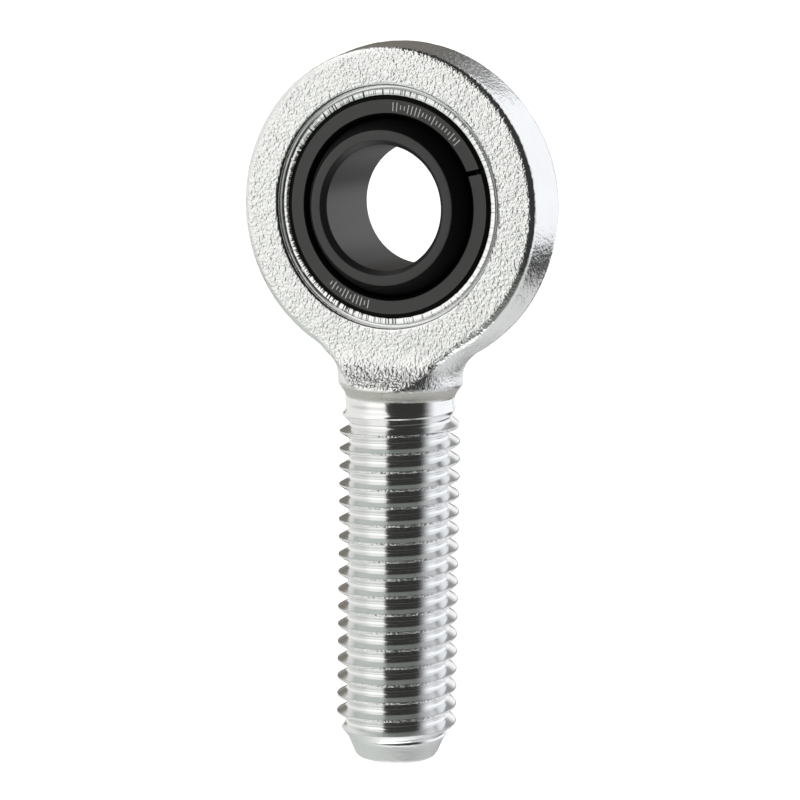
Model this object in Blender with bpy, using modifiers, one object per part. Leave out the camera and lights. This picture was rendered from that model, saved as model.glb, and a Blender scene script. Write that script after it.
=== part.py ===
"""Male rod end bearing, size 12, M12 right-hand thread, as separate named parts.

Origin: the centre of the shank's end face. +Z runs up the shank to the eye, and the ball's bore runs along Y.
Lengths are written in millimetres and turned to metres by MM.
"""

import math

import bmesh
import bpy
from mathutils import Matrix

MM = 0.001
WELD = 1e-6  # metres

# Driving dimensions, mm
BALL_HEIGHT = 54.5       # ball centre above the shank's end face
BALL_RADIUS = 9.0
BALL_WIDTH = 10.0
BORE_RADIUS = 6.0
BORE_CHAMFER = 0.5
RING_WIDTH = 7.0
RING_RADIUS = 11.0
RING_CHAMFER_RADIAL = 0.7
RING_CHAMFER_AXIAL = 0.5
RACE_CHAMFER = 0.42
EYE_WIDTH = 7.8
EYE_RADIUS = 16.1
THREAD_PITCH = 1.75
THREAD_CREST_RADIUS = 5.92
THREAD_ROOT_RADIUS = 4.93
THREAD_CREST_FLAT = 0.22
THREAD_ROOT_FLAT = 0.34

# Running clearances, mm: ball, two layers of lubricant, race
FILM_THICKNESS = 0.05
FILM_GAP = 0.03
FILM_HALF_WIDTH = 1.3    # stays inside the race when the ball is tilted to its limit
SEAT_GAP = 0.03          # outer ring to the eye's bore
RACE_RADIUS = BALL_RADIUS + 3 * FILM_GAP + 2 * FILM_THICKNESS

# Eye section, mm
EYE_EDGE_RADIUS = 0.6    # rounding between a face and the side
EYE_FACE_RADIUS = 14.7   # where the flat face ends
EYE_DRAFT = math.radians(14)
GROOVE_OUTER_RADIUS = 11.57
GROOVE_FLOOR_RADIUS = 11.28
GROOVE_DEPTH = 0.95
LIP_OUTER_RADIUS = 11.02
LIP_INNER_RADIUS = 10.67
LIP_HEIGHT = 3.55        # highest point of the staked lip from the eye's middle plane
LIP_EDGE_HEIGHT = 3.42
LIP_EDGE_THICKNESS = 0.08

# Split of the outer ring
SPLIT_ANGLE = math.radians(21.8)      # where the split sits round the ring, from +X
SPLIT_LEAN = math.radians(13.4)       # direction the split runs in
SPLIT_WIDTH = 0.4

# Shank, mm
NECK_RADIUS = 5.48
NECK_BOTTOM = 35.6
RUNOUT_BOTTOM = 32.8
TIP_RADIUS = 4.15
TIP_SLOPE = 0.5          # growth of radius with height on the tip's chamfer
COLLAR_RADIUS = 6.12
COLLAR_BOTTOM = 36.9
COLLAR_TAPER = 0.8       # height of the taper from collar to neck
RAMP_BOTTOM_HALF = 5.54  # half thickness of the neck's front and back ramps at the collar
RAMP_TOP = 40.4          # height where the ramps have run into the eye's faces
NECK_STOCK_TOP = 42.3
NECK_STOCK_RADIUS = 7.5
NECK_STOCK_HALF = 3.75   # half thickness inside the eye
NECK_OVERLAP = 0.1       # how far the neck's lower end reaches into the shank

# Facets round each turned shape
RING_STEPS = 72
NECK_STEPS = 48
THREAD_STEPS = 24

SPARE_TURNS = 2          # turns of thread swept beyond each end before the ends are cut square

PARTS = "rod_end_bearing"
CUTTERS = "cutters"


def clear_scene():
    """Remove every object, mesh, material and collection left from before."""
    for obj in list(bpy.data.objects):
        bpy.data.objects.remove(obj, do_unlink=True)
    for store in (bpy.data.meshes, bpy.data.materials, bpy.data.collections):
        for item in list(store):
            store.remove(item)


def make_collection(name):
    """Return a new collection in the scene."""
    collection = bpy.data.collections.new(name)
    bpy.context.scene.collection.children.link(collection)
    return collection


def make_material(name, color, roughness, metallic):
    """Return a Principled material."""
    material = bpy.data.materials.new(name)
    material.use_nodes = True
    shader = material.node_tree.nodes["Principled BSDF"]
    shader.inputs["Base Color"].default_value = (*color, 1.0)
    shader.inputs["Roughness"].default_value = roughness
    shader.inputs["Metallic"].default_value = metallic
    material.diffuse_color = (*color, 1.0)
    return material


def add_mesh_object(name, mesh, collection):
    """Link a new object for a mesh."""
    obj = bpy.data.objects.new(name, mesh)
    collection.objects.link(obj)
    return obj


def mark_as_tool(obj):
    """Show a cutting or joining shape as wire only."""
    obj.hide_render = True
    obj.display_type = "WIRE"


def arc(radius, start, end, steps, centre=(0.0, 0.0)):
    """Points (r, w) along an arc, angles in radians from the r axis, both ends included."""
    angles = [start + (end - start) * i / steps for i in range(steps + 1)]
    return [(centre[0] + radius * math.cos(a), centre[1] + radius * math.sin(a)) for a in angles]


def profile_mesh(name, points, closed):
    """A mesh of edges through (r, w) points in the XZ plane, in metres."""
    mesh = bpy.data.meshes.new(name)
    bm = bmesh.new()
    verts = [bm.verts.new((r * MM, 0.0, w * MM)) for r, w in points]
    for a, b in zip(verts, verts[1:]):
        bm.edges.new((a, b))
    if closed:
        bm.edges.new((verts[-1], verts[0]))
    bm.to_mesh(mesh)
    bm.free()
    return mesh


def turned(name, points, steps, collection, closed=True):
    """A shape turned about its own Z by a Screw modifier."""
    obj = add_mesh_object(name, profile_mesh(name, points, closed), collection)
    screw = obj.modifiers.new("Turn", "SCREW")
    screw.axis = "Z"
    screw.angle = math.tau
    screw.steps = screw.render_steps = steps
    screw.use_merge_vertices = True
    screw.merge_threshold = WELD
    screw.use_smooth_shade = False
    screw.use_normal_calculate = False
    return obj


def stand_in_eye(obj):
    """Put a turned shape on the ball's centre with its axis along +Y."""
    obj.location = (0.0, 0.0, BALL_HEIGHT * MM)
    obj.rotation_euler = (-math.pi / 2, 0.0, 0.0)


def boolean(obj, tool, operation):
    """Cut or join with the exact solver."""
    modifier = obj.modifiers.new(operation.title(), "BOOLEAN")
    modifier.operation = operation
    modifier.solver = "EXACT"
    modifier.object = tool
    return modifier


def baked_mesh(obj):
    """Replace an object's modifiers by their result."""
    bpy.context.view_layer.update()
    evaluated = obj.evaluated_get(bpy.context.evaluated_depsgraph_get())
    mesh = bpy.data.meshes.new_from_object(evaluated)
    obj.modifiers.clear()
    obj.data = mesh
    return mesh


def ring_section(outer_half, inner_half):
    """Close a ring section: down the outer side, then up the inner side.

    Both halves are lists of (r, w) from the middle plane (w = 0) up to the top face.
    """
    down = list(reversed(outer_half)) + [(r, -w) for r, w in outer_half[1:]]
    up = [(r, -w) for r, w in reversed(inner_half)] + inner_half[1:]
    return down + up


def make_inner_ring(collection):
    """The ball: a sphere with two flat faces and a chamfered bore."""
    half_width = BALL_WIDTH / 2
    face_angle = math.asin(half_width / BALL_RADIUS)
    outer = arc(BALL_RADIUS, 0.0, face_angle, 8)
    chamfer_start = half_width - BORE_CHAMFER * 0.9
    inner = [(BORE_RADIUS, 0.0), (BORE_RADIUS, chamfer_start), (BORE_RADIUS + BORE_CHAMFER, half_width)]
    ball = turned("inner_ring", ring_section(outer, inner), RING_STEPS, collection)
    stand_in_eye(ball)
    ball.data.materials.append(make_material("inner_ring", (0.035, 0.034, 0.033), 0.38, 0.75))
    return ball


def make_outer_ring(collection, cutters):
    """The race: a ring with a spherical bore, split once so that the ball can be put in."""
    half_width = RING_WIDTH / 2
    outer = [
        (RING_RADIUS, 0.0),
        (RING_RADIUS, half_width - RING_CHAMFER_AXIAL),
        (RING_RADIUS - RING_CHAMFER_RADIAL, half_width),
    ]
    race_half = half_width - RACE_CHAMFER
    inner = arc(RACE_RADIUS, 0.0, math.asin(race_half / RACE_RADIUS), 6)
    inner.append((inner[-1][0] + RACE_CHAMFER * 0.8, half_width))
    ring = turned("outer_ring", ring_section(outer, inner), RING_STEPS, collection)
    stand_in_eye(ring)
    ring.data.materials.append(make_material("outer_ring", (0.055, 0.054, 0.052), 0.42, 0.75))

    mesh = bpy.data.meshes.new("split_cutter")
    bm = bmesh.new()
    bmesh.ops.create_cube(bm, size=1.0)
    radial = RING_RADIUS - RACE_RADIUS
    bmesh.ops.scale(bm, vec=(4 * radial * MM, 2 * RING_WIDTH * MM, SPLIT_WIDTH * MM), verts=bm.verts)
    bm.to_mesh(mesh)
    bm.free()
    cutter = add_mesh_object("split_cutter", mesh, cutters)
    middle = (RING_RADIUS + RACE_RADIUS) / 2
    cutter.location = (
        middle * math.cos(SPLIT_ANGLE) * MM,
        0.0,
        (BALL_HEIGHT + middle * math.sin(SPLIT_ANGLE)) * MM,
    )
    cutter.rotation_euler = (0.0, -SPLIT_LEAN, 0.0)
    mark_as_tool(cutter)
    boolean(ring, cutter, "DIFFERENCE")
    return ring


def make_film(name, inner_radius, collection):
    """One layer of the lubricant between ball and race, as a thin spherical band."""
    outer_radius = inner_radius + FILM_THICKNESS
    outer = arc(outer_radius, 0.0, math.asin(FILM_HALF_WIDTH / outer_radius), 3)
    inner = arc(inner_radius, 0.0, math.asin(FILM_HALF_WIDTH / inner_radius), 3)
    film = turned(name, ring_section(outer, inner), RING_STEPS, collection)
    stand_in_eye(film)
    film.data.materials.append(make_material(name, (0.03, 0.026, 0.02), 0.3, 0.0))
    return film


def eye_outer_half():
    """Outer side of the eye's section: drafted from the forging's parting plane, rounded to the face."""
    half_width = EYE_WIDTH / 2
    centre = (EYE_FACE_RADIUS, half_width - EYE_EDGE_RADIUS)
    rounded = arc(EYE_EDGE_RADIUS, EYE_DRAFT, math.pi / 2, 4, centre)
    return [(EYE_RADIUS, 0.0), (EYE_RADIUS - 0.14, 0.6), (EYE_RADIUS - 0.45, 1.9)] + rounded


def eye_inner_half():
    """Bore of the eye's section: seat of the outer ring, staked lip and the groove beside it."""
    half_width = EYE_WIDTH / 2
    seat_radius = RING_RADIUS + SEAT_GAP
    seat_half = RING_WIDTH / 2 - RING_CHAMFER_AXIAL + SEAT_GAP
    return [
        (seat_radius, 0.0),
        (seat_radius, seat_half),
        (LIP_INNER_RADIUS, LIP_EDGE_HEIGHT - LIP_EDGE_THICKNESS),
        (LIP_INNER_RADIUS, LIP_EDGE_HEIGHT),
        (LIP_OUTER_RADIUS, LIP_HEIGHT),
        (GROOVE_FLOOR_RADIUS, half_width - GROOVE_DEPTH),
        (GROOVE_OUTER_RADIUS - 0.08, half_width - 0.3),
        (GROOVE_OUTER_RADIUS + 0.1, half_width),
    ]


def ramp_half(height):
    """Half thickness of the neck between its front and back ramps at a height, mm."""
    share = min(max((height - COLLAR_BOTTOM) / (RAMP_TOP - COLLAR_BOTTOM), 0.0), 1.0)
    ease = math.sin(share * math.pi / 2)
    return RAMP_BOTTOM_HALF + (NECK_STOCK_HALF - RAMP_BOTTOM_HALF) * ease


def make_neck(cutters):
    """The neck between shank and eye: round at the collar, with a ramp to each face of the eye."""
    inner_radius = NECK_RADIUS - NECK_OVERLAP
    taper_bottom = COLLAR_BOTTOM - COLLAR_TAPER
    points = [
        (0.0, NECK_STOCK_TOP),
        (NECK_STOCK_RADIUS, NECK_STOCK_TOP),
        (NECK_STOCK_RADIUS, 40.8),
        (7.1, 40.2),
        (6.65, 39.6),
        (6.32, 39.0),
        (6.18, 38.5),
        (COLLAR_RADIUS, 38.0),
        (COLLAR_RADIUS, 37.4),
        (COLLAR_RADIUS, COLLAR_BOTTOM),
        (inner_radius, taper_bottom),
        (inner_radius, taper_bottom - 0.4),
        (0.0, taper_bottom - 0.4),
    ]
    neck = turned("neck_stock", points, NECK_STEPS, cutters, closed=False)
    mesh = baked_mesh(neck)
    bm = bmesh.new()
    bm.from_mesh(mesh)
    bmesh.ops.remove_doubles(bm, verts=bm.verts, dist=WELD)
    for vert in bm.verts:
        limit = ramp_half(vert.co.z / MM) * MM
        vert.co.y = min(max(vert.co.y, -limit), limit)
    bmesh.ops.remove_doubles(bm, verts=bm.verts, dist=WELD)
    bm.to_mesh(mesh)
    bm.free()
    mark_as_tool(neck)
    return neck


def shank_limits(height):
    """Least and greatest radius of the shank at a height, mm: core and outer envelope."""
    tip = TIP_RADIUS + TIP_SLOPE * max(height, 0.0)
    share = min(max((height - RUNOUT_BOTTOM) / (NECK_BOTTOM - RUNOUT_BOTTOM), 0.0), 1.0)
    core = THREAD_ROOT_RADIUS + (NECK_RADIUS - THREAD_ROOT_RADIUS) * share
    crest = THREAD_CREST_RADIUS + (NECK_RADIUS - THREAD_CREST_RADIUS) * share
    return min(core, tip), min(crest, tip)


def make_shank(cutters):
    """The threaded shank: one pitch of thread section swept up a helix, then held between core and envelope."""
    flank = (THREAD_PITCH - THREAD_CREST_FLAT - THREAD_ROOT_FLAT) / 2
    section = [
        (THREAD_CREST_RADIUS, THREAD_PITCH),
        (THREAD_ROOT_RADIUS, THREAD_PITCH - flank),
        (THREAD_ROOT_RADIUS, THREAD_PITCH - flank - THREAD_ROOT_FLAT),
        (THREAD_CREST_RADIUS, THREAD_CREST_FLAT),
        (THREAD_CREST_RADIUS, 0.0),
    ]
    top = COLLAR_BOTTOM + 1.0
    turns = math.ceil(top / THREAD_PITCH) + 2 * SPARE_TURNS
    shank = add_mesh_object("shank_stock", profile_mesh("shank_stock", section, False), cutters)
    shank.location.z = -SPARE_TURNS * THREAD_PITCH * MM
    screw = shank.modifiers.new("Thread", "SCREW")
    screw.axis = "Z"
    screw.angle = math.tau
    screw.screw_offset = THREAD_PITCH * MM
    screw.iterations = turns
    screw.steps = screw.render_steps = THREAD_STEPS
    screw.use_merge_vertices = False
    screw.use_smooth_shade = False
    mesh = baked_mesh(shank)

    bm = bmesh.new()
    bm.from_mesh(mesh)
    bmesh.ops.transform(bm, matrix=Matrix.Translation(shank.location), verts=bm.verts)
    shank.location.z = 0.0
    bmesh.ops.remove_doubles(bm, verts=bm.verts, dist=WELD)
    for height, normal in ((0.0, -1.0), (top * MM, 1.0)):
        bmesh.ops.bisect_plane(
            bm, geom=bm.verts[:] + bm.edges[:] + bm.faces[:], dist=WELD / 10,
            plane_co=(0.0, 0.0, height), plane_no=(0.0, 0.0, normal), clear_outer=True,
        )
        rim = [e for e in bm.edges if e.is_boundary and all(abs(v.co.z - height) < WELD for v in e.verts)]
        bmesh.ops.contextual_create(bm, geom=rim)
    for vert in bm.verts:
        radius = math.hypot(vert.co.x, vert.co.y)
        core, crest = shank_limits(vert.co.z / MM)
        wanted = min(max(radius, core * MM), crest * MM)
        vert.co.x *= wanted / radius
        vert.co.y *= wanted / radius
    bmesh.ops.remove_doubles(bm, verts=bm.verts, dist=WELD)
    bmesh.ops.recalc_face_normals(bm, faces=bm.faces)
    bm.to_mesh(mesh)
    bm.free()
    mark_as_tool(shank)
    return shank


def make_housing(collection, cutters):
    """The forging: eye, neck and threaded shank in one piece."""
    housing = turned("rod_end_housing", ring_section(eye_outer_half(), eye_inner_half()), RING_STEPS, collection)
    stand_in_eye(housing)
    boolean(housing, make_neck(cutters), "UNION")
    boolean(housing, make_shank(cutters), "UNION")
    housing.data.materials.append(make_material("rod_end_housing", (0.72, 0.72, 0.73), 0.34, 1.0))
    return housing


def main():
    """Build every part."""
    clear_scene()
    collection = make_collection(PARTS)
    cutters = make_collection(CUTTERS)
    make_housing(collection, cutters)
    make_outer_ring(collection, cutters)
    make_inner_ring(collection)
    ball_film_radius = BALL_RADIUS + FILM_GAP
    make_film("ball_lubricant", ball_film_radius, collection)
    make_film("race_lubricant", ball_film_radius + FILM_THICKNESS + FILM_GAP, collection)
    bpy.context.view_layer.update()


main()
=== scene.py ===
"""Looks of a male rod end bearing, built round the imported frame.

The housing is one zinc-plated forging with a rolled thread. A split black race is staked into its
eye, and a black ball turns in the race on a film of grease. Everything is in metres in the row
frame; sizes are written in millimetres and turned to metres by MM.
"""

from __future__ import annotations

import logging
import math
from dataclasses import dataclass
from enum import Enum

import bmesh
import bpy
from mathutils import Matrix, Vector, noise

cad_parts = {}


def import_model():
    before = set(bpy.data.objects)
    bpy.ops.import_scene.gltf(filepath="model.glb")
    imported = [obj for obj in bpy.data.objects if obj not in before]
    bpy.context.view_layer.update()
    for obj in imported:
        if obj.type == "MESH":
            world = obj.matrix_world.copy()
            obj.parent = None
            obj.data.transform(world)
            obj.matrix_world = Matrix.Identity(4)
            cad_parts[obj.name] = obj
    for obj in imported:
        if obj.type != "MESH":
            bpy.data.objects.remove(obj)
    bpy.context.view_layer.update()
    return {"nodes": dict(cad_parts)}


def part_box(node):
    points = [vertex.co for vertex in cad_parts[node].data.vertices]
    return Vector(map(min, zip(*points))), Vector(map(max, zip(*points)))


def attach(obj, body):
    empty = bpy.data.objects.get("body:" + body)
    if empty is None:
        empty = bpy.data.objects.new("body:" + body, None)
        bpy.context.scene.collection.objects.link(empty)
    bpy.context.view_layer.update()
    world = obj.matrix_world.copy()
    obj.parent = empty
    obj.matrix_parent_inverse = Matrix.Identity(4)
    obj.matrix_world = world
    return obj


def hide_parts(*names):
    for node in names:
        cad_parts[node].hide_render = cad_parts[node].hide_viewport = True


LOG = logging.getLogger("rod_end")
MM = 0.001
WELD = 1e-7  # metres
FLAT_NORMAL = 0.93  # least share of the bore's direction in the normal of a flat face
WHITE = (1.0, 1.0, 1.0, 1.0)

Point = tuple[float, float]


class Turn(Enum):
    """Axis that a section is turned about."""

    BORE = "Y"
    SHANK = "Z"


def smooth_share(value: float, start: float, end: float) -> float:
    """Share from 0 at start to 1 at end, with soft ends."""
    share = min(max((value - start) / (end - start), 0.0), 1.0)
    return share * share * (3.0 - 2.0 * share)


def arc(centre: Point, radius: float, start: float, end: float, steps: int) -> list[Point]:
    """Points along an arc in a section.

    Args:
        centre: The arc's centre (radius from the axis, height along it), mm.
        radius: The arc's radius, mm.
        start: First angle in degrees, from the outward direction towards the axis direction.
        end: Last angle in degrees.
        steps: Number of chords.

    Returns:
        The points, both ends included.
    """
    angles = [math.radians(start + (end - start) * i / steps) for i in range(steps + 1)]
    return [(centre[0] + radius * math.cos(a), centre[1] + radius * math.sin(a)) for a in angles]


def mirrored_section(outer: list[Point], inner: list[Point]) -> list[Point]:
    """Close a ring's section from its upper halves.

    Args:
        outer: Outer side from the middle plane up to the top face, mm.
        inner: Inner side from the middle plane up to the top face, mm.

    Returns:
        The whole section as a closed loop.
    """
    down = list(reversed(outer)) + [(r, -w) for r, w in outer[1:]]
    up = [(r, -w) for r, w in reversed(inner)] + inner[1:]
    return down + up


def turned(
    section: list[Point], turn: Turn, centre_height: float, segments: int, closed: bool
) -> bmesh.types.BMesh:
    """Turn a section into a solid.

    Args:
        section: Points (radius, place along the axis), mm.
        turn: Axis of the turn.
        centre_height: Height of the section's own zero in the row frame, mm.
        segments: Facets round the turn.
        closed: Whether the section is a loop; an open one starts and ends on the axis.

    Returns:
        The solid, in metres.
    """
    bm = bmesh.new()
    along_bore = turn is Turn.BORE
    places = [(r, w, centre_height) if along_bore else (r, 0.0, centre_height + w) for r, w in section]
    verts = [bm.verts.new(Vector(p) * MM) for p in places]
    edges = [bm.edges.new(pair) for pair in zip(verts, verts[1:])]
    if closed:
        edges.append(bm.edges.new((verts[-1], verts[0])))
    bmesh.ops.spin(
        bm,
        geom=verts + edges,
        cent=(0.0, 0.0, centre_height * MM),
        axis=(0.0, 1.0, 0.0) if along_bore else (0.0, 0.0, 1.0),
        dvec=(0.0, 0.0, 0.0),
        angle=math.tau,
        steps=segments,
        use_merge=True,
        use_normal_flip=False,
        use_duplicate=False,
    )
    bmesh.ops.remove_doubles(bm, verts=bm.verts, dist=WELD)
    bmesh.ops.recalc_face_normals(bm, faces=bm.faces)
    return bm


def object_from(bm: bmesh.types.BMesh, name: str) -> bpy.types.Object:
    """Link a new object for a bmesh, and free the bmesh."""
    mesh = bpy.data.meshes.new(name)
    bm.to_mesh(mesh)
    bm.free()
    obj = bpy.data.objects.new(name, mesh)
    bpy.context.scene.collection.objects.link(obj)
    return obj


def apply_modifiers(obj: bpy.types.Object) -> None:
    """Replace an object's modifiers by their result."""
    bpy.context.view_layer.update()
    evaluated = obj.evaluated_get(bpy.context.evaluated_depsgraph_get())
    mesh = bpy.data.meshes.new_from_object(evaluated)
    obj.modifiers.clear()
    obj.data = mesh


def combine(base: bpy.types.Object, tool: bpy.types.Object, operation: str) -> None:
    """Join a tool to a base, or cut it out, and remove the tool.

    Args:
        base: Closed mesh that keeps the result.
        tool: Closed mesh.
        operation: UNION or DIFFERENCE.
    """
    modifier = base.modifiers.new("combine", "BOOLEAN")
    modifier.operation = operation
    modifier.solver = "MANIFOLD"
    modifier.object = tool
    apply_modifiers(base)
    bpy.data.objects.remove(tool)


def shade(obj: bpy.types.Object, crease_degrees: float) -> None:
    """Shade smooth, with edges sharper than the crease angle kept crisp."""
    mesh = obj.data
    mesh.shade_smooth()
    mesh.set_sharp_from_angle(angle=math.radians(crease_degrees))


def paint(obj: bpy.types.Object, name: str, values: list[float]) -> None:
    """Store one number a vertex for the material to read."""
    attribute = obj.data.attributes.new(name, "FLOAT", "POINT")
    attribute.data.foreach_set("value", values)


def linear(hex_colour: str) -> tuple[float, float, float, float]:
    """Turn an sRGB hex colour into linear RGBA."""
    channels = [int(hex_colour[i : i + 2], 16) / 255 for i in (1, 3, 5)]
    rgb = [c / 12.92 if c <= 0.04045 else ((c + 0.055) / 1.055) ** 2.4 for c in channels]
    return (rgb[0], rgb[1], rgb[2], 1.0)


def pattern_scale(feature_mm: float) -> float:
    """Texture scale whose features are about this wide, for coordinates in metres."""
    return 1.0 / (feature_mm * MM)


def add_node(
    tree: bpy.types.NodeTree, kind: str, settings: dict[str, object] | None = None, **inputs: object
) -> bpy.types.Node:
    """Add a node with its settings and links.

    Args:
        tree: The node tree.
        kind: The node's type name.
        settings: Properties of the node, by name.
        **inputs: Values or sockets for its inputs, by name with _ for a space; i0, i1 ... name
            inputs by number.

    Returns:
        The node.
    """
    node = tree.nodes.new(kind)
    for name, value in (settings or {}).items():
        setattr(node, name, value)
    for name, value in inputs.items():
        numbered = name[0] == "i" and name[1:].isdigit()
        socket = node.inputs[int(name[1:])] if numbered else node.inputs[name.replace("_", " ")]
        if isinstance(value, bpy.types.NodeSocket):
            tree.links.new(value, socket)
        else:
            socket.default_value = value
    return node


def maths(tree: bpy.types.NodeTree, operation: str, *values: object) -> bpy.types.NodeSocket:
    """One Math node's result."""
    inputs = {f"i{i}": value for i, value in enumerate(values)}
    return add_node(tree, "ShaderNodeMath", {"operation": operation}, **inputs).outputs[0]


def clouds(
    tree: bpy.types.NodeTree,
    coords: bpy.types.NodeSocket,
    feature_mm: float,
    detail: float,
    roughness: float,
) -> bpy.types.NodeSocket:
    """Soft noise over an object's own coordinates.

    Args:
        tree: The material's node tree.
        coords: Object coordinates, in metres.
        feature_mm: Width of the broadest features, mm.
        detail: Number of finer layers.
        roughness: Strength of each finer layer against the one before.

    Returns:
        The noise, about 0 to 1.
    """
    return add_node(
        tree,
        "ShaderNodeTexNoise",
        Vector=coords,
        Scale=pattern_scale(feature_mm),
        Detail=detail,
        Roughness=roughness,
    ).outputs["Fac"]


def mixed(
    tree: bpy.types.NodeTree, share: bpy.types.NodeSocket, under: object, over: object
) -> bpy.types.NodeSocket:
    """Colour that is the one under where the share is 0 and the one over where it is 1."""
    node = add_node(tree, "ShaderNodeMix", {"data_type": "RGBA"}, Factor=share, i6=under, i7=over)
    return node.outputs[2]


def new_material(name: str) -> tuple[bpy.types.Material, bpy.types.NodeTree, bpy.types.Node]:
    """A material with a Principled shader on its output.

    Returns:
        The material, its node tree and the shader node.
    """
    material = bpy.data.materials.new(name)
    material.use_nodes = True
    tree = material.node_tree
    tree.nodes.clear()
    shader = tree.nodes.new("ShaderNodeBsdfPrincipled")
    output = tree.nodes.new("ShaderNodeOutputMaterial")
    tree.links.new(shader.outputs[0], output.inputs["Surface"])
    return material, tree, shader


@dataclass(frozen=True)
class ZincPlate:
    """Bright zinc plate on forged and rolled steel, with the forging's pebbled skin under it."""

    colour: str = "#f3f4f4"
    shadow_colour: str = "#e8e9ea"
    smooth_roughness: float = 0.16
    grain_roughness: float = 0.27
    matte_roughness: float = 0.56
    # Painted shade: the greyer colour laid in the recess under the collar.
    painted_shade_colour: str = "#dad8d4"
    grain_mm: float = 0.27
    grain_depth_mm: float = 0.118
    fine_mm: float = 0.13
    fine_depth_mm: float = 0.034
    serration_depth_mm: float = 0.19
    ray_count: float = 11.0
    ray_scale: float = 1.7
    cloud_mm: float = 2.6

    def material(self, ball_height: float) -> bpy.types.Material:
        """Build the plate's material.

        Args:
            ball_height: Height of the bore's axis, mm.

        Returns:
            The material; it reads the attributes grain, frosted, staked and matte, and one more for the
            shade painted into the recess under the collar.
        """
        material, tree, shader = new_material("bright_zinc_plate_on_forged_steel")
        coords = tree.nodes.new("ShaderNodeTexCoord").outputs["Object"]
        grain, frosted, staked, matte, painted_shade = (
            add_node(tree, "ShaderNodeAttribute", {"attribute_name": name}).outputs["Fac"]
            for name in ("grain", "frosted", "staked", "matte", "painted_shade")
        )

        # Pebbled skin left by shot blasting: rounded grains with a finer crackle on them.
        pebbles = clouds(tree, coords, self.grain_mm, 1.5, 0.45)
        crackle = clouds(tree, coords, self.fine_mm, 1.0, 0.5)
        pebbles = maths(tree, "MULTIPLY", pebbles, self.grain_depth_mm * MM)
        crackle = maths(tree, "MULTIPLY", crackle, self.fine_depth_mm * MM)
        rise = maths(tree, "MULTIPLY", pebbles, grain)
        rise = maths(tree, "ADD", rise, maths(tree, "MULTIPLY", crackle, frosted))

        # Short radial tool marks pressed into the staked lip, as rays round the bore's axis.
        split = add_node(tree, "ShaderNodeSeparateXYZ", Vector=coords)
        up = maths(tree, "SUBTRACT", split.outputs["Z"], ball_height * MM)
        angle = maths(tree, "ARCTAN2", up, split.outputs["X"])
        rays = add_node(
            tree,
            "ShaderNodeTexNoise",
            {"noise_dimensions": "1D"},
            W=maths(tree, "MULTIPLY", angle, self.ray_count),
            Scale=self.ray_scale,
            Detail=2.0,
            Roughness=0.62,
        ).outputs["Fac"]
        marks = maths(tree, "MULTIPLY", rays, self.serration_depth_mm * MM)
        height = maths(tree, "ADD", rise, maths(tree, "MULTIPLY", marks, staked))
        bump = add_node(tree, "ShaderNodeBump", Strength=1.0, Distance=1.0, Height=height)

        frost = self.grain_roughness - self.smooth_roughness
        rough = maths(tree, "MULTIPLY_ADD", frosted, frost, self.smooth_roughness)
        bare = self.matte_roughness - self.smooth_roughness
        rough = maths(tree, "MULTIPLY_ADD", matte, bare, rough)
        tone = clouds(tree, coords, self.cloud_mm, 3.0, 0.6)
        colour = mixed(tree, tone, linear(self.colour), linear(self.shadow_colour))
        # Painted shade: a greyer colour in the recess under the collar.
        colour = mixed(tree, painted_shade, colour, linear(self.painted_shade_colour))
        tree.links.new(colour, shader.inputs["Base Color"])
        tree.links.new(rough, shader.inputs["Roughness"])
        tree.links.new(bump.outputs[0], shader.inputs["Normal"])
        shader.inputs["Metallic"].default_value = 1.0
        return material


@dataclass(frozen=True)
class BlackFinish:
    """A near-black coat on bearing steel with a faint tooth; plain, it is manganese phosphate."""

    name: str = "black_manganese_phosphate"
    colour: str = "#100f11"
    worn_colour: str = "#171618"
    roughness: float = 0.40
    ior: float = 1.63
    tooth_mm: float = 0.16
    tooth_depth_mm: float = 0.0015
    cloud_mm: float = 1.8

    def material(
        self,
    ) -> tuple[bpy.types.Material, bpy.types.NodeTree, bpy.types.Node, bpy.types.NodeSocket]:
        """Build the finish.

        Returns:
            The material, its tree, the shader and the colour socket, so that marks can be laid over it.
        """
        material, tree, shader = new_material(self.name)
        coords = tree.nodes.new("ShaderNodeTexCoord").outputs["Object"]
        wear = clouds(tree, coords, self.cloud_mm, 4.0, 0.65)
        tooth = clouds(tree, coords, self.tooth_mm, 2.0, 0.6)
        colour = mixed(tree, wear, linear(self.colour), linear(self.worn_colour))
        tree.links.new(colour, shader.inputs["Base Color"])
        height = maths(tree, "MULTIPLY", tooth, self.tooth_depth_mm * MM)
        bump = add_node(tree, "ShaderNodeBump", Strength=1.0, Distance=1.0, Height=height)
        tree.links.new(bump.outputs[0], shader.inputs["Normal"])
        shader.inputs["Roughness"].default_value = self.roughness
        shader.inputs["IOR"].default_value = self.ior
        return material, tree, shader, colour


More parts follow.
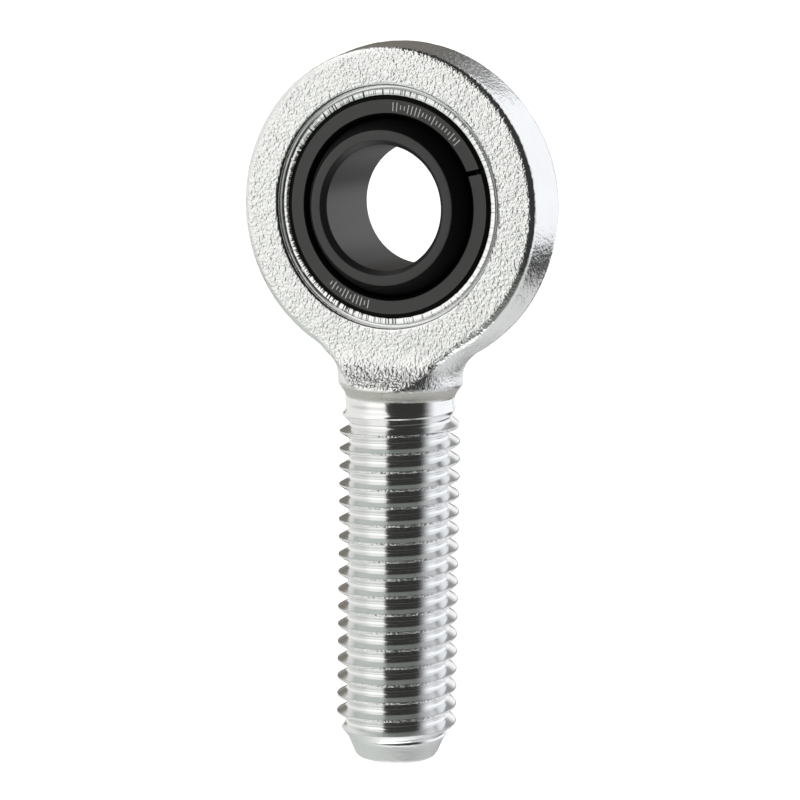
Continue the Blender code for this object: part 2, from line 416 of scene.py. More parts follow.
@dataclass(frozen=True)
class EtchedMarks:
    """Pale etched ticks of two lengths in two arcs on the ring's front face, like a scale.

    Sizes in mm, arcs in degrees. There is no lettering.
    """

    radius: float = 9.58
    half_height: float = 0.42
    cell: float = 0.40
    stroke: float = 0.09
    short_chance: float = 0.45
    arcs: tuple[Point, ...] = ((40.0, 88.0), (-130.0, -101.0))
    colour: str = "#bdbbb8"

    def mask(self, tree: bpy.types.NodeTree, ball_height: float) -> bpy.types.NodeSocket:
        """Build the mask.

        Args:
            tree: The material's node tree.
            ball_height: Height of the bore's axis, mm.

        Returns:
            1 on a tick, 0 elsewhere.
        """
        coords = tree.nodes.new("ShaderNodeTexCoord").outputs["Object"]
        split = add_node(tree, "ShaderNodeSeparateXYZ", Vector=coords)
        up = maths(tree, "SUBTRACT", split.outputs["Z"], ball_height * MM)
        angle = maths(tree, "ARCTAN2", up, split.outputs["X"])
        flat = add_node(tree, "ShaderNodeCombineXYZ", X=split.outputs["X"], Y=up)
        length = add_node(tree, "ShaderNodeVectorMath", {"operation": "LENGTH"}, i0=flat.outputs[0])
        across = maths(tree, "MULTIPLY_ADD", length.outputs["Value"], 1.0 / MM, -self.radius)
        cells = maths(tree, "MULTIPLY", angle, self.radius / self.cell)
        chance = add_node(
            tree, "ShaderNodeTexWhiteNoise", {"noise_dimensions": "1D"}, W=maths(tree, "FLOOR", cells)
        ).outputs["Value"]
        tall = maths(tree, "GREATER_THAN", chance, self.short_chance)
        tick = maths(tree, "MULTIPLY", maths(tree, "MULTIPLY_ADD", tall, 0.5, 0.5), self.half_height)
        half_stroke = self.stroke / self.cell / 2
        strokes = maths(tree, "COMPARE", maths(tree, "FRACT", cells), 0.5, half_stroke)
        strokes = maths(tree, "MULTIPLY", strokes, maths(tree, "COMPARE", across, 0.0, tick))
        inside = None
        for start, end in self.arcs:
            middle, reach = math.radians((start + end) / 2), math.radians((end - start) / 2)
            span = maths(tree, "COMPARE", angle, middle, reach)
            inside = span if inside is None else maths(tree, "MAXIMUM", inside, span)
        front = maths(tree, "LESS_THAN", split.outputs["Y"], 0.0)
        return maths(tree, "MULTIPLY", maths(tree, "MULTIPLY", strokes, inside), front)

    def lay(
        self,
        tree: bpy.types.NodeTree,
        shader: bpy.types.Node,
        under: bpy.types.NodeSocket,
        ball_height: float,
    ) -> None:
        """Lay the ticks over a finish's colour."""
        marked = mixed(tree, self.mask(tree, ball_height), under, linear(self.colour))
        tree.links.new(marked, shader.inputs["Base Color"])


# A matte dry film on the spheres; on the race's chamfers, recessed under the staked lip, its
# near-black, dull look is painted shade.
DRY_FILM_AND_PAINTED_SHADE = BlackFinish("black_moly_dry_film_and_painted_shade", "#050505", "#080808", roughness=0.62, ior=1.2)
MOLY_GREASE = BlackFinish("black_moly_grease", "#060606", "#0b0a09", roughness=0.34, ior=1.47)


def dress_ground(
    ring: bpy.types.Object,
    ground: bpy.types.Material,
    dry_film_and_shade: bpy.types.Material,
    ball_height: float,
    rim: Point,
) -> None:
    """Give a ring its ground finish on the flat faces and round the bore, and dry film elsewhere; on
    the chamfers the film's dark, dull look is painted shade.

    Args:
        ring: The ring.
        ground: Finish of the flat faces and of what lies between the rim radii.
        dry_film_and_shade: Finish of the spheres and of the other chamfers.
        ball_height: Height of the bore's axis, mm.
        rim: Inner and outer radius of the stretch that is ground all over, mm.
    """
    mesh = ring.data
    mesh.materials.clear()
    mesh.materials.append(ground)
    mesh.materials.append(dry_film_and_shade)
    for face in mesh.polygons:
        radius = math.hypot(face.center.x, face.center.z - ball_height * MM) / MM
        is_ground = abs(face.normal.y) > FLAT_NORMAL or rim[0] < radius < rim[1]
        face.material_index = 0 if is_ground else 1


@dataclass
class Housing:
    """The forging: eye with a staked lip on both faces, neck with ramps, and threaded shank.

    Sizes in mm.
    """

    ball_height: float
    eye_radius: float = 16.08
    eye_half: float = 3.9
    top_flattening: float = 0.3
    face_radius: float = 14.72
    back_face_radius: float = 14.15
    edge_radius: float = 0.7
    front_draft_degrees: float = 11.5
    back_draft_degrees: float = 22.0
    ridge_half: float = 0.25
    ridge_height: float = 0.07
    eye_segments: int = 256
    flattened_from: float = 14.9
    collar_radius: float = 6.12
    collar_bottom: float = 37.05
    neck_fillet: float = 2.6
    neck_fillet_bottom: float = 38.0
    flare_end_degrees: float = 122.0
    ramp_top: float = 40.6
    ramp_gentle_degrees: float = 9.0
    hollow_top: float = 39.2
    hollow_radius: float = 1.6
    ramp_steep_degrees: float = 42.0
    ramp_bottom_half: float = 5.86
    neck_shoulder: tuple[Point, ...] = ((7.98, 41.0), (8.50, 41.6), (9.10, 42.3))
    neck_radius: float = 5.36
    # The taper under the collar: share of the way from neck to collar, and drop under the collar.
    collar_taper: tuple[Point, ...] = (
        (-0.1, 1.6),
        (0.0, 1.05),
        (0.14, 0.75),
        (0.4, 0.45),
        (0.7, 0.18),
        (0.92, 0.0),
    )
    neck_segments: int = 192
    voxel: float = 0.195
    soft_edges: Point = (37.9, 43.4)
    soft_rounds: int = 8
    # Unevenness of the forged skin: height and width of the waves.
    skin_waves: tuple[Point, ...] = ((0.020, 1.3), (0.012, 0.45))
    pitch: float = 1.75
    crest_radius: float = 5.915
    root_radius: float = 4.93
    flank_degrees: float = 30.0
    # A crest from its middle with the rolling seam: depth under the crest's top, and drop.
    crest_outline: tuple[Point, ...] = (
        (0.03, 0.0),
        (0.012, 0.03),
        (0.0, 0.06),
        (0.012, 0.09),
        (0.035, 0.115),
    )
    flank_margin: float = 0.03
    crest_height_at_x: float = 1.6
    thread_segments: int = 56
    spare_turns: int = 2
    shank_overlap: float = 0.8
    runout_bottom: float = 32.6
    runout_top: float = 35.7
    tip_radius: float = 3.98
    tip_slope: float = 0.42
    run_in_height: float = 1.9
    run_in_slope: float = 0.36
    tip_round: float = 0.3
    tip_round_share: float = 0.8
    seat_radius: float = 11.03
    seat_half: float = 3.05
    groove_radius: float = 11.6
    lip_radius: float = 10.62
    # The staked lip: distance out from lip_radius, and height over the eye's middle plane.
    lip_outline: tuple[Point, ...] = (
        (0.02, 3.22),
        (0.0, 3.25),
        (0.0, 3.30),
        (0.04, 3.37),
        (0.12, 3.42),
        (0.44, 3.44),
        (0.47, 3.41),
        (0.50, 3.41),
        (0.53, 3.43),
        (0.60, 3.41),
        (0.67, 3.34),
        (0.74, 3.16),
    )
    # The groove beside it: distance out from groove_radius, and height.
    groove_outline: tuple[Point, ...] = (
        (-0.14, 3.00),
        (-0.09, 3.03),
        (-0.05, 3.30),
        (0.0, 3.78),
        (0.05, 3.85),
        (0.40, 4.20),
    )
    # Where the lip waves: inner and outer radius, and least height.
    wavy_radii: Point = (10.57, 11.2)
    wavy_height: float = 3.2
    lip_waves: float = 34.0
    wave_out: float = 0.035
    wave_up: float = 0.02
    back_waves_shift: float = 7.0
    # Regions of the skin. A pair is where a region starts and where it is full: heights, radii or
    # distances in mm; a region that grows downwards has its heights negated.
    head_from: Point = (37.0, 37.4)
    neck_below: Point = (-44.5, -40.5)
    facing_normals: Point = (0.88, 0.985)
    ramp_below: Point = (-39.7, -38.9)
    ramp_skin: Point = (-0.16, -0.05)
    groove_clear: Point = (0.05, 0.25)
    trimmed_from: Point = (63.0, 67.0)
    recess_from: Point = (35.9, 36.15)
    recess_below: Point = (-37.2, -37.0)
    recess_radius: float = 6.0
    crest_band: Point = (-0.05, -0.02)
    crest_top: float = 35.0
    cone_top: float = 4.0
    cone_band: float = 0.03
    staked_radius: float = 11.25
    # Strength of the grain by region.
    side_grain: float = 0.26
    neck_grain: float = 0.45
    trimmed_grain: float = 0.3
    ramp_gain: float = 1.7
    ramp_polish: float = 0.75
    recess_grain: float = 0.7
    # Also scales the matte finish and the painted shade in the recess at the collar's edge.
    collar_edge_grain_and_shade: float = 0.3
    cone_grain: float = 0.25
    bore_segments: int = 384

    def ramp_half(self, height: float) -> float:
        """Half thickness of the neck between its ramps at a height, mm.

        Going down, the ramp is a gentle slope, then a hollow, then a steep slope.
        """
        gentle = max(self.ramp_top - height, 0.0) * math.tan(math.radians(self.ramp_gentle_degrees))
        drop = max(self.hollow_top - height, 0.0)
        slope = math.radians(self.ramp_steep_degrees)
        hollow_drop = self.hollow_radius * math.sin(slope)
        steep = self.hollow_radius - math.sqrt(self.hollow_radius**2 - min(drop, hollow_drop) ** 2)
        steep += max(drop - hollow_drop, 0.0) * math.tan(slope)
        return min(self.eye_half + gentle + steep, self.ramp_bottom_half)

    def eye_side(self, face_radius: float, draft_degrees: float) -> list[Point]:
        """Half of the eye's section, from the parting ridge over the rounded edge to the face."""
        draft = math.radians(draft_degrees)
        centre = (face_radius, self.eye_half - self.edge_radius)
        rounded = arc(centre, self.edge_radius, draft_degrees, 90.0, 8)
        foot_radius = rounded[0][0] + (rounded[0][1] - self.ridge_half) * math.tan(draft)
        foot_radius = min(foot_radius, self.eye_radius - self.ridge_height)
        return [
            (self.eye_radius, 0.0),
            (self.eye_radius, self.ridge_half),
            (foot_radius, self.ridge_half + self.ridge_height),
            *rounded,
            (0.0, self.eye_half),
        ]

    def eye_blank(self) -> bpy.types.Object:
        """The eye as a solid disc, drafted more behind its parting ridge than in front."""
        front = self.eye_side(self.face_radius, self.front_draft_degrees)
        back = self.eye_side(self.back_face_radius, self.back_draft_degrees)
        section = [(r, -w) for r, w in reversed(front)] + back[1:]
        bm = turned(section, Turn.BORE, self.ball_height, self.eye_segments, closed=False)
        for vert in bm.verts:
            x, z = vert.co.x / MM, vert.co.z / MM - self.ball_height
            near_rim = smooth_share(math.hypot(x, z), self.flattened_from, self.eye_radius)
            share = smooth_share(z, 0.0, self.eye_radius) * near_rim
            vert.co.z -= self.top_flattening * share * MM
        return object_from(bm, "eye_blank")

    def neck_blank(self) -> bpy.types.Object:
        """The neck: round at the collar, flared at the sides, with a ramp in front and behind."""
        steps = 16
        middle = (self.collar_radius + self.neck_fillet, self.neck_fillet_bottom)
        flare = arc(middle, self.neck_fillet, 180.0, self.flare_end_degrees, steps)
        straight = self.neck_fillet_bottom - self.collar_bottom
        heights = [self.collar_bottom + straight * i / steps for i in range(1, steps)]
        collar = [(self.collar_radius, height) for height in heights]
        growth = self.collar_radius - self.neck_radius
        taper = [
            (self.neck_radius + growth * share, self.collar_bottom - drop)
            for share, drop in self.collar_taper
        ]
        section = [
            (0.0, taper[0][1]),
            *taper,
            *collar,
            *flare,
            *self.neck_shoulder,
            (0.0, self.neck_shoulder[-1][1]),
        ]
        bm = turned(section, Turn.SHANK, 0.0, self.neck_segments, closed=False)
        for vert in bm.verts:
            limit = self.ramp_half(vert.co.z / MM) * MM
            vert.co.y = min(max(vert.co.y, -limit), limit)
        bmesh.ops.remove_doubles(bm, verts=bm.verts, dist=WELD)
        return object_from(bm, "neck_blank")

    def forged_head(self) -> bpy.types.Object:
        """Eye and neck forged into one, with soft inner corners and a slightly uneven skin."""
        head = self.eye_blank()
        neck = self.neck_blank()
        bm = bmesh.new()
        bm.from_mesh(head.data)
        bm.from_mesh(neck.data)
        bm.to_mesh(head.data)
        bm.free()
        bpy.data.objects.remove(neck)
        remesh = head.modifiers.new("forge", "REMESH")
        remesh.mode = "VOXEL"
        remesh.voxel_size = self.voxel * MM
        apply_modifiers(head)
        bm = bmesh.new()
        bm.from_mesh(head.data)
        low, high = self.soft_edges
        shoulders = [v for v in bm.verts if low < v.co.z / MM < high]
        for verts, rounds in ((bm.verts, 2), (shoulders, self.soft_rounds)):
            for _ in range(rounds):
                bmesh.ops.smooth_vert(
                    bm, verts=verts, factor=0.5, use_axis_x=True, use_axis_y=True, use_axis_z=True
                )
        bm.normal_update()
        shifts = []
        for vert in bm.verts:
            place = vert.co / MM
            amount = sum(rise * noise.noise(place / width) for rise, width in self.skin_waves)
            shifts.append(amount * smooth_share(place.z, 37.0, 38.0))
        for vert, shift in zip(bm.verts, shifts):
            vert.co += vert.normal * (shift * MM)
        bm.to_mesh(head.data)
        bm.free()
        return head

    def bore_cutter(self) -> bpy.types.Object:
        """What is cut from the eye: the race's seat, round the staked lip, and the groove beside it."""
        beyond = self.eye_half + 1.0
        groove = [(self.groove_radius + out, height) for out, height in self.groove_outline]
        upper = [
            (self.seat_radius, 0.0),
            (self.seat_radius, self.seat_half),
            *((self.lip_radius + out, height) for out, height in self.lip_outline),
            *groove,
            (groove[-1][0], beyond),
            (0.0, beyond),
        ]
        section = list(reversed(upper)) + [(r, -w) for r, w in upper[1:]]
        bm = turned(section, Turn.BORE, self.ball_height, self.bore_segments, closed=False)
        for vert in bm.verts:
            x, y, z = vert.co.x / MM, vert.co.y / MM, vert.co.z / MM - self.ball_height
            radius = math.hypot(x, z)
            on_lip = self.wavy_radii[0] < radius < self.wavy_radii[1] and abs(y) > self.wavy_height
            if on_lip:
                angle = math.atan2(z, x)
                around = (math.cos(angle) * self.lip_waves, math.sin(angle) * self.lip_waves)
                wave = noise.noise(Vector((*around, self.back_waves_shift if y > 0 else 0.0)))
                wanted = radius + self.wave_out * wave
                vert.co.x *= wanted / radius
                vert.co.z = (self.ball_height + z * wanted / radius) * MM
                vert.co.y += self.wave_up * wave * MM * (1 if y > 0 else -1)
        return object_from(bm, "bore_cutter")

    def thread_section(self) -> list[Point]:
        """One pitch of the thread's section, from a crest's middle down to the next one's, mm."""
        flank = math.tan(math.radians(self.flank_degrees))
        crest = [(self.crest_radius - inset, drop) for inset, drop in self.crest_outline]
        crest_foot, foot_drop = crest[-1]
        depth = crest_foot - self.root_radius
        room = self.pitch / 2 - foot_drop - depth * flank
        root_round = room / (math.cos(math.radians(self.flank_degrees)) - flank / 2)
        root = arc((self.root_radius + root_round, self.pitch / 2), root_round, -120.0, -180.0, 6)
        # An edge near each end of the flank keeps the flank's shading flat.
        flank_ends = [
            (crest_foot - self.flank_margin, foot_drop + self.flank_margin * flank),
            (root[0][0] + self.flank_margin, root[0][1] - self.flank_margin * flank),
        ]
        half = [*crest, *flank_ends, *root]
        return [(r, self.pitch - w) for r, w in half] + list(reversed(half[:-1]))

    def shank(self) -> bpy.types.Object:
        """The shank: thread rolled up a helix, run out at the neck and turned to a cone at the tip."""
        bm = bmesh.new()
        section = self.thread_section()
        top = self.collar_bottom + self.shank_overlap
        start = self.crest_height_at_x - (self.spare_turns + 1) * self.pitch
        verts = [bm.verts.new((r * MM, 0.0, (start + w) * MM)) for r, w in section]
        edges = [bm.edges.new(pair) for pair in zip(verts, verts[1:])]
        bmesh.ops.spin(
            bm,
            geom=verts + edges,
            cent=(0.0, 0.0, 0.0),
            axis=(0.0, 0.0, 1.0),
            dvec=(0.0, 0.0, self.pitch * MM / self.thread_segments),
            angle=math.tau,
            steps=self.thread_segments,
            use_merge=False,
            use_normal_flip=False,
            use_duplicate=False,
        )
        one_turn = bm.verts[:] + bm.edges[:] + bm.faces[:]
        turns = math.ceil(top / self.pitch) + 2 * self.spare_turns
        for i in range(1, turns):
            copied = bmesh.ops.duplicate(bm, geom=one_turn)["geom"]
            moved = [g for g in copied if isinstance(g, bmesh.types.BMVert)]
            bmesh.ops.translate(bm, vec=(0.0, 0.0, i * self.pitch * MM), verts=moved)
        bmesh.ops.remove_doubles(bm, verts=bm.verts, dist=WELD * 20)
        for height, direction in ((0.0, -1.0), (top * MM, 1.0)):
            bmesh.ops.bisect_plane(
                bm,
                geom=bm.verts[:] + bm.edges[:] + bm.faces[:],
                dist=WELD,
                plane_co=(0.0, 0.0, height),
                plane_no=(0.0, 0.0, direction),
                clear_outer=True,
            )
            level = {v for v in bm.verts if abs(v.co.z - height) < WELD * 10}
            rim = [e for e in bm.edges if e.is_boundary and level.issuperset(e.verts)]
            bmesh.ops.contextual_create(bm, geom=rim)
        for vert in bm.verts:
            height = vert.co.z / MM
            radius = math.hypot(vert.co.x, vert.co.y) / MM
            fade = smooth_share(height, self.runout_bottom, self.runout_top)
            wanted = radius + (self.neck_radius - radius) * fade
            wanted = min(wanted, self.tip_limit(height))
            vert.co.x *= wanted / radius
            vert.co.y *= wanted / radius
        bmesh.ops.remove_doubles(bm, verts=bm.verts, dist=WELD)
        bmesh.ops.recalc_face_normals(bm, faces=bm.faces)
        return object_from(bm, "shank")

    def tip_limit(self, height: float) -> float:
        """Greatest radius that the tip's cone allows at a height, mm, rounded at the end face."""
        run_in = self.run_in_slope * max(height - self.run_in_height, 0.0)
        cone = self.tip_radius + self.tip_slope * height + run_in
        if height < self.tip_round:
            square = self.tip_round**2 - (self.tip_round - height) ** 2
            cone -= (self.tip_round - math.sqrt(max(square, 0.0))) * self.tip_round_share
        return cone

    def build(self, finish: ZincPlate) -> bpy.types.Object:
        """Forge, cut and thread the housing, and plate it.

        Args:
            finish: The plate.

        Returns:
            The finished piece.
        """
        housing = self.forged_head()
        combine(housing, self.bore_cutter(), "DIFFERENCE")
        combine(housing, self.shank(), "UNION")
        housing.name = "forged_housing"
        housing.data.name = "forged_housing"
        shade(housing, 32.0)
        self.mark_regions(housing)
        housing.data.materials.clear()
        housing.data.materials.append(finish.material(self.ball_height))
        return housing

    def mark_regions(self, housing: bpy.types.Object) -> None:
        """Store where the skin is pebbled, frosted, staked or matte, and where shade is painted into
        the recess under the collar.
        """
        names = ("grain", "frosted", "staked", "matte", "painted_shade")
        regions: dict[str, list[float]] = {name: [] for name in names}
        housing.data.update()
        for vert in housing.data.vertices:
            x, y, z = (c / MM for c in vert.co)
            from_bore, from_axis = math.hypot(x, z - self.ball_height), math.hypot(x, y)
            on_head = smooth_share(z, *self.head_from)
            in_neck = smooth_share(-z, *self.neck_below)
            facing = smooth_share(abs(vert.normal.y), *self.facing_normals)
            on_ramp = smooth_share(-z, *self.ramp_below)
            on_ramp *= smooth_share(abs(y) - self.ramp_half(z), *self.ramp_skin)
            facing = max(facing, on_ramp)
            outside_groove = smooth_share(from_bore - self.groove_radius, *self.groove_clear)
            trimmed = smooth_share(z, *self.trimmed_from)
            skin = self.side_grain + self.neck_grain * in_neck + self.trimmed_grain * trimmed
            recess = smooth_share(z, *self.recess_from) * smooth_share(-z, *self.recess_below)
            recess *= 1.0 if from_axis < self.recess_radius else self.collar_edge_grain_and_shade
            past_crest = from_axis - self.crest_radius
            crest = smooth_share(past_crest, *self.crest_band) if z < self.crest_top else 0.0
            on_cone = z < self.cone_top and from_axis > self.tip_limit(z) - self.cone_band
            cone = 1.0 if on_cone else 0.0
            forged = on_head * outside_groove
            coarse = forged * (skin + (1.0 - skin) * facing) * (1.0 + self.ramp_gain * on_ramp)
            frosted = forged * max(facing, in_neck) * (1.0 - self.ramp_polish * on_ramp)
            fine_skin = max(self.recess_grain * recess, crest, self.cone_grain * cone)
            regions["grain"].append(max(coarse, fine_skin))
            regions["frosted"].append(frosted)
            regions["staked"].append(1.0 if from_bore < self.staked_radius else 0.0)
            regions["matte"].append(max(cone, recess))
            # Painted shade: the recess under the collar gets a greyer colour.
            regions["painted_shade"].append(recess)
        for name, values in regions.items():
            paint(housing, name, values)


@dataclass
class Race:
    """The outer ring: spherical bore, chamfered edges, split once. Sizes in mm."""

    ball_height: float
    radius: float = 11.0
    half_width: float = 3.5
    face_outer: float = 10.29
    chamfer_depth: float = 0.5
    sphere_radius: float = 9.19
    face_inner: float = 8.93
    split_degrees: float = 21.8
    split_lean_degrees: float = 13.4
    split_width: float = 0.50
    cut_length: float = 6.0
    edge_bevel: float = 0.05
    sphere_edge: float = 0.4
    segments: int = 288

    def build(self, ground: bpy.types.Material, dry_film_and_shade: bpy.types.Material) -> bpy.types.Object:
        """Turn the ring, split it and finish it."""
        bevel = self.edge_bevel
        outer = [
            (self.radius, 0.0),
            (self.radius, self.half_width - self.chamfer_depth),
            (self.face_outer + bevel, self.half_width - bevel * 0.8),
            (self.face_outer - bevel, self.half_width),
        ]
        limit = math.degrees(math.asin((self.half_width - self.sphere_edge) / self.sphere_radius))
        inner = arc((0.0, 0.0), self.sphere_radius, 0.0, limit, 12)
        inner += [
            (self.face_inner - bevel, self.half_width - bevel),
            (self.face_inner + bevel, self.half_width),
        ]
        section = mirrored_section(outer, inner)
        solid = turned(section, Turn.BORE, self.ball_height, self.segments, closed=True)
        ring = object_from(solid, "split_race")
        combine(ring, self.split_cutter(), "DIFFERENCE")
        shade(ring, 14.0)
        # The film's near-black, dull look on the chamfers is painted shade under the staked lip.
        dress_ground(ring, ground, dry_film_and_shade, self.ball_height, (0.0, 0.0))
        return ring

    def split_cutter(self) -> bpy.types.Object:
        """A block as wide as the slot where the ring is parted."""
        bm = bmesh.new()
        bmesh.ops.create_cube(bm, size=1.0)
        bmesh.ops.scale(
            bm,
            vec=(self.cut_length * MM, (self.half_width * 2 + 2.0) * MM, self.split_width * MM),
            verts=bm.verts,
        )
        middle = (self.radius + self.sphere_radius) / 2
        around = math.radians(self.split_degrees)
        height = self.ball_height + middle * math.sin(around)
        place = Vector((middle * math.cos(around), 0.0, height)) * MM
        turn = Matrix.Rotation(-math.radians(self.split_lean_degrees), 4, "Y")
        bmesh.ops.transform(bm, matrix=Matrix.Translation(place) @ turn, verts=bm.verts)
        return object_from(bm, "split_cutter")


@dataclass
class Ball:
    """The inner ring: a sphere with two flat faces and a chamfered bore. Sizes in mm."""

    ball_height: float
    radius: float = 9.0
    half_width: float = 5.0
    bore_radius: float = 6.0
    chamfer: float = 0.48
    chamfer_depth: float = 0.56
    edge_round: float = 0.42
    edge_round_inset: float = 0.235
    bevel: float = 0.03
    bevel_depth: float = 0.08
    segments: int = 288

    def build(self, ground: bpy.types.Material, dry_film_and_shade: bpy.types.Material) -> bpy.types.Object:
        """Turn the ball and finish it."""
        rim = math.sqrt(self.radius**2 - self.half_width**2)
        fillet_centre = (rim - self.edge_round_inset, self.half_width - self.edge_round)
        face = math.degrees(math.asin(self.half_width / self.radius))
        outer = arc((0.0, 0.0), self.radius, 0.0, face - 1.6, 24)
        outer += arc(fillet_centre, self.edge_round, face + 6.0, 90.0, 5)
        chamfer_foot = self.half_width - self.chamfer_depth
        inner = [
            (self.bore_radius, 0.0),
            (self.bore_radius, chamfer_foot),
            (self.bore_radius + self.bevel, chamfer_foot + self.bevel_depth),
            (self.bore_radius + self.chamfer - self.bevel, self.half_width - self.bevel),
            (self.bore_radius + self.chamfer + self.bevel, self.half_width),
        ]
        section = mirrored_section(outer, inner)
        solid = turned(section, Turn.BORE, self.ball_height, self.segments, closed=True)
        ball = object_from(solid, "ball")
        shade(ball, 14.0)
        dress_ground(ball, ground, dry_film_and_shade, self.ball_height, (0.0, self.bore_radius + 1.0))
        return ball


@dataclass(frozen=True)
class Panel:
    """A white panel of the light tent.

    Azimuths run from the front (-Y) towards +X. All angles are in degrees.
    """

    name: str
    azimuths: Point
    elevations: Point
    level: float
    side_fades: Point = (4.0, 4.0)
    height_fades: Point = (10.0, 10.0)
    colour: str = "#ffffff"

    def lay(
        self,
        tree: bpy.types.NodeTree,
        direction: bpy.types.NodeSocket,
        elevation: bpy.types.NodeSocket,
        below: bpy.types.NodeSocket,
    ) -> bpy.types.NodeSocket:
        """Add this panel's light to what is there already.

        Args:
            tree: The world's node tree.
            direction: Where a ray goes, as a unit vector.
            elevation: The ray's elevation in radians.
            below: Light of the panels laid before.

        Returns:
            The sum.
        """
        middle = math.radians(sum(self.azimuths) / 2)
        half = math.radians(self.azimuths[1] - self.azimuths[0]) / 2
        low, high = (math.radians(e) for e in self.elevations)
        turned_to = add_node(tree, "ShaderNodeMapping", Vector=direction, Rotation=(0.0, 0.0, -middle))
        axes = add_node(tree, "ShaderNodeSeparateXYZ", Vector=turned_to.outputs[0])
        ahead = maths(tree, "MULTIPLY", axes.outputs["Y"], -1.0)
        azimuth = maths(tree, "ARCTAN2", axes.outputs["X"], ahead)
        share = None
        for angle, edge, fade in (
            (azimuth, -half, self.side_fades[0]),
            (maths(tree, "MULTIPLY", azimuth, -1.0), -half, self.side_fades[1]),
            (elevation, low, self.height_fades[0]),
            (maths(tree, "MULTIPLY", elevation, -1.0), -high, self.height_fades[1]),
        ):
            soft = math.radians(fade) / 2
            step = add_node(
                tree,
                "ShaderNodeMapRange",
                {"interpolation_type": "SMOOTHSTEP"},
                Value=angle,
                From_Min=edge - soft,
                From_Max=edge + soft,
            ).outputs[0]
            share = step if share is None else maths(tree, "MULTIPLY", share, step)
        tint = [c * self.level for c in linear(self.colour)[:3]]
        multiply_add = {"operation": "MULTIPLY_ADD"}
        total = add_node(tree, "ShaderNodeVectorMath", multiply_add, i0=share, i1=tint, i2=below)
        return total.outputs[0]


TENT = (
    Panel("left_wall", (-130.0, -6.5), (-18.0, 62.0), 0.88, (8.0, 3.0), (10.0, 6.0), "#fffefb"),
    Panel("left_wall_foot", (-146.0, -130.0), (-27.0, 2.0), 0.88, (8.0, 8.0), (10.0, 8.0), "#fffefb"),
    Panel("left_wall_top", (-112.0, -6.5), (40.0, 62.0), 0.40, (30.0, 3.0), (20.0, 6.0), "#fffefb"),
    Panel("face_glow", (-52.0, -6.5), (-24.0, 30.0), 0.32, (30.0, 3.0), (14.0, 20.0), "#fffefa"),
    Panel("corner", (-164.0, -130.0), (2.0, 58.0), 0.17, (8.0, 8.0), (8.0, 14.0), "#fff4e6"),
    Panel("right_wall", (89.0, 168.0), (-17.0, 62.0), 1.08, (34.0, 8.0), (10.0, 20.0), "#fbfcff"),
    Panel("right_skirt", (89.0, 124.0), (-27.0, -17.0), 0.98, (34.0, 12.0), (10.0, 10.0), "#fbfcff"),
    Panel("back_wall", (170.0, 196.0), (-20.0, 22.0), 1.00, (6.0, 10.0), (10.0, 12.0)),
    Panel("back_haze", (168.0, 190.0), (22.0, 62.0), 0.25, (10.0, 14.0), (12.0, 16.0)),
    Panel("side_floor", (89.0, 230.0), (-72.0, -29.0), 0.72, (34.0, 30.0), (8.0, 10.0)),
    Panel("left_floor", (-130.0, -6.5), (-72.0, -20.0), 0.70, (30.0, 3.0), (8.0, 10.0), "#f0f6ef"),
    Panel("front_floor", (-6.5, 89.0), (-72.0, -37.0), 0.22, (3.0, 34.0), (8.0, 14.0), "#eef6ec"),
    Panel("under_floor", (-180.0, 180.0), (-95.0, -70.0), 2.10, (0.1, 0.1), (1.0, 8.0)),
)


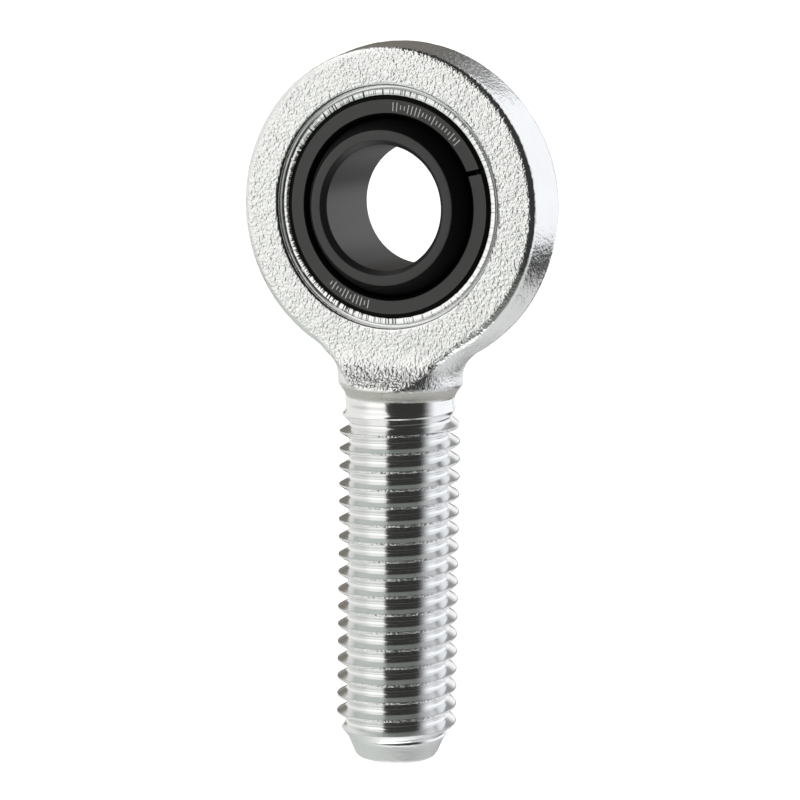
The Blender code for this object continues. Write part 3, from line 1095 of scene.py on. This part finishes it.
@dataclass
class Studio:
    """Camera, pale floor and the light tent. Sizes in mm."""

    azimuth: float = 24.871
    elevation: float = 8.424
    roll: float = 0.72
    distance: float = 273.1
    aim_height: float = 35.46
    aim_side: float = -0.043
    lens: float = 125.99
    floor_size: float = 30000.0
    floor_drop: float = 0.02
    floor_colour: str = "#f4f4f4"
    floor_glow: float = 0.75
    gap_colour: str = "#363634"
    panels: tuple[Panel, ...] = TENT

    def camera(self) -> bpy.types.Object:
        """Create the camera and make it the scene's own."""
        az, el, roll = (math.radians(a) for a in (self.azimuth, self.elevation, self.roll))
        back = Vector((math.sin(az) * math.cos(el), -math.cos(az) * math.cos(el), math.sin(el)))
        level = Vector((math.cos(az), math.sin(az), 0.0))
        upright = back.cross(level)
        right = level * math.cos(roll) + upright * math.sin(roll)
        up = upright * math.cos(roll) - level * math.sin(roll)
        aim = Vector((0.0, 0.0, self.aim_height)) + level * self.aim_side
        place = (aim + back * self.distance) * MM
        data = bpy.data.cameras.new("camera")
        data.lens = self.lens
        data.sensor_width = 36.0
        data.clip_start = 0.01
        data.clip_end = 100.0
        camera = bpy.data.objects.new("camera", data)
        turn = Matrix((right, up, back)).transposed().to_4x4()
        camera.matrix_world = Matrix.Translation(place) @ turn
        bpy.context.scene.collection.objects.link(camera)
        bpy.context.scene.camera = camera
        return camera

    def floor(self) -> None:
        """Pale floor."""
        bm = bmesh.new()
        bmesh.ops.create_circle(bm, cap_ends=True, radius=self.floor_size * MM, segments=96)
        bmesh.ops.translate(bm, vec=(0.0, 0.0, -self.floor_drop * MM), verts=bm.verts)
        floor = object_from(bm, "floor")
        material, _, shader = new_material("pale_floor")
        shader.inputs["Base Color"].default_value = linear(self.floor_colour)
        shader.inputs["Roughness"].default_value = 0.9
        shader.inputs["Specular IOR Level"].default_value = 0.0
        shader.inputs["Emission Color"].default_value = WHITE
        shader.inputs["Emission Strength"].default_value = self.floor_glow
        floor.data.materials.append(material)
        floor.visible_glossy = False

    def surroundings(self) -> None:
        """Light tent round the object: soft-edged white panels with dark gaps between them."""
        world = bpy.data.worlds.new("light_tent")
        bpy.context.scene.world = world
        world.use_nodes = True
        tree = world.node_tree
        tree.nodes.clear()
        direction = tree.nodes.new("ShaderNodeTexCoord").outputs["Generated"]
        rise = add_node(tree, "ShaderNodeSeparateXYZ", Vector=direction).outputs["Z"]
        elevation = maths(tree, "ARCSINE", rise)
        light = add_node(tree, "ShaderNodeRGB")
        light.outputs[0].default_value = linear(self.gap_colour)
        total = light.outputs[0]
        for panel in self.panels:
            total = panel.lay(tree, direction, elevation, total)
        seen = add_node(tree, "ShaderNodeLightPath").outputs["Is Camera Ray"]
        shown = mixed(tree, seen, total, WHITE)
        background = add_node(tree, "ShaderNodeBackground", Color=shown, Strength=1.0)
        output = tree.nodes.new("ShaderNodeOutputWorld")
        tree.links.new(background.outputs[0], output.inputs["Surface"])

    def build(self) -> None:
        """Set up the whole studio."""
        self.camera()
        self.floor()
        self.surroundings()
        bpy.context.scene.view_settings.view_transform = "Standard"
        bpy.context.scene.view_settings.look = "None"


def main() -> None:
    """Build every piece round the frame and report it."""
    logging.basicConfig(level=logging.INFO, format="%(name)s: %(message)s")
    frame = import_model()

    low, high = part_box("inner_ring")
    ball_height = (low.z + high.z) / 2 / MM
    studio = Studio()
    studio.build()

    ground, *_ = BlackFinish().material()
    # Dry film, which also stands in as painted shade on the race's chamfers.
    dry_film_and_shade, *_ = DRY_FILM_AND_PAINTED_SHADE.material()
    marked, *nodes = BlackFinish("marked_black_phosphate").material()
    EtchedMarks().lay(*nodes, ball_height)
    grease, *_ = MOLY_GREASE.material()
    for name in ("race_lubricant", "ball_lubricant"):
        for material_slot in frame["nodes"][name].material_slots:
            material_slot.link = "OBJECT"
            material_slot.material = grease
    housing = Housing(ball_height).build(ZincPlate())
    race = Race(ball_height).build(marked, dry_film_and_shade)
    ball = Ball(ball_height).build(ground, dry_film_and_shade)
    for piece, body, node in (
        (housing, "housing", "rod_end_housing"),
        (race, "housing", "outer_ring"),
        (ball, "ball", "inner_ring"),
    ):
        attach(piece, body)
        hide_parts(node)
        piece.data.calc_loop_triangles()
        LOG.info("%s rides on %s: %d triangles", piece.name, body, len(piece.data.loop_triangles))


if __name__ == "__main__":
    main()
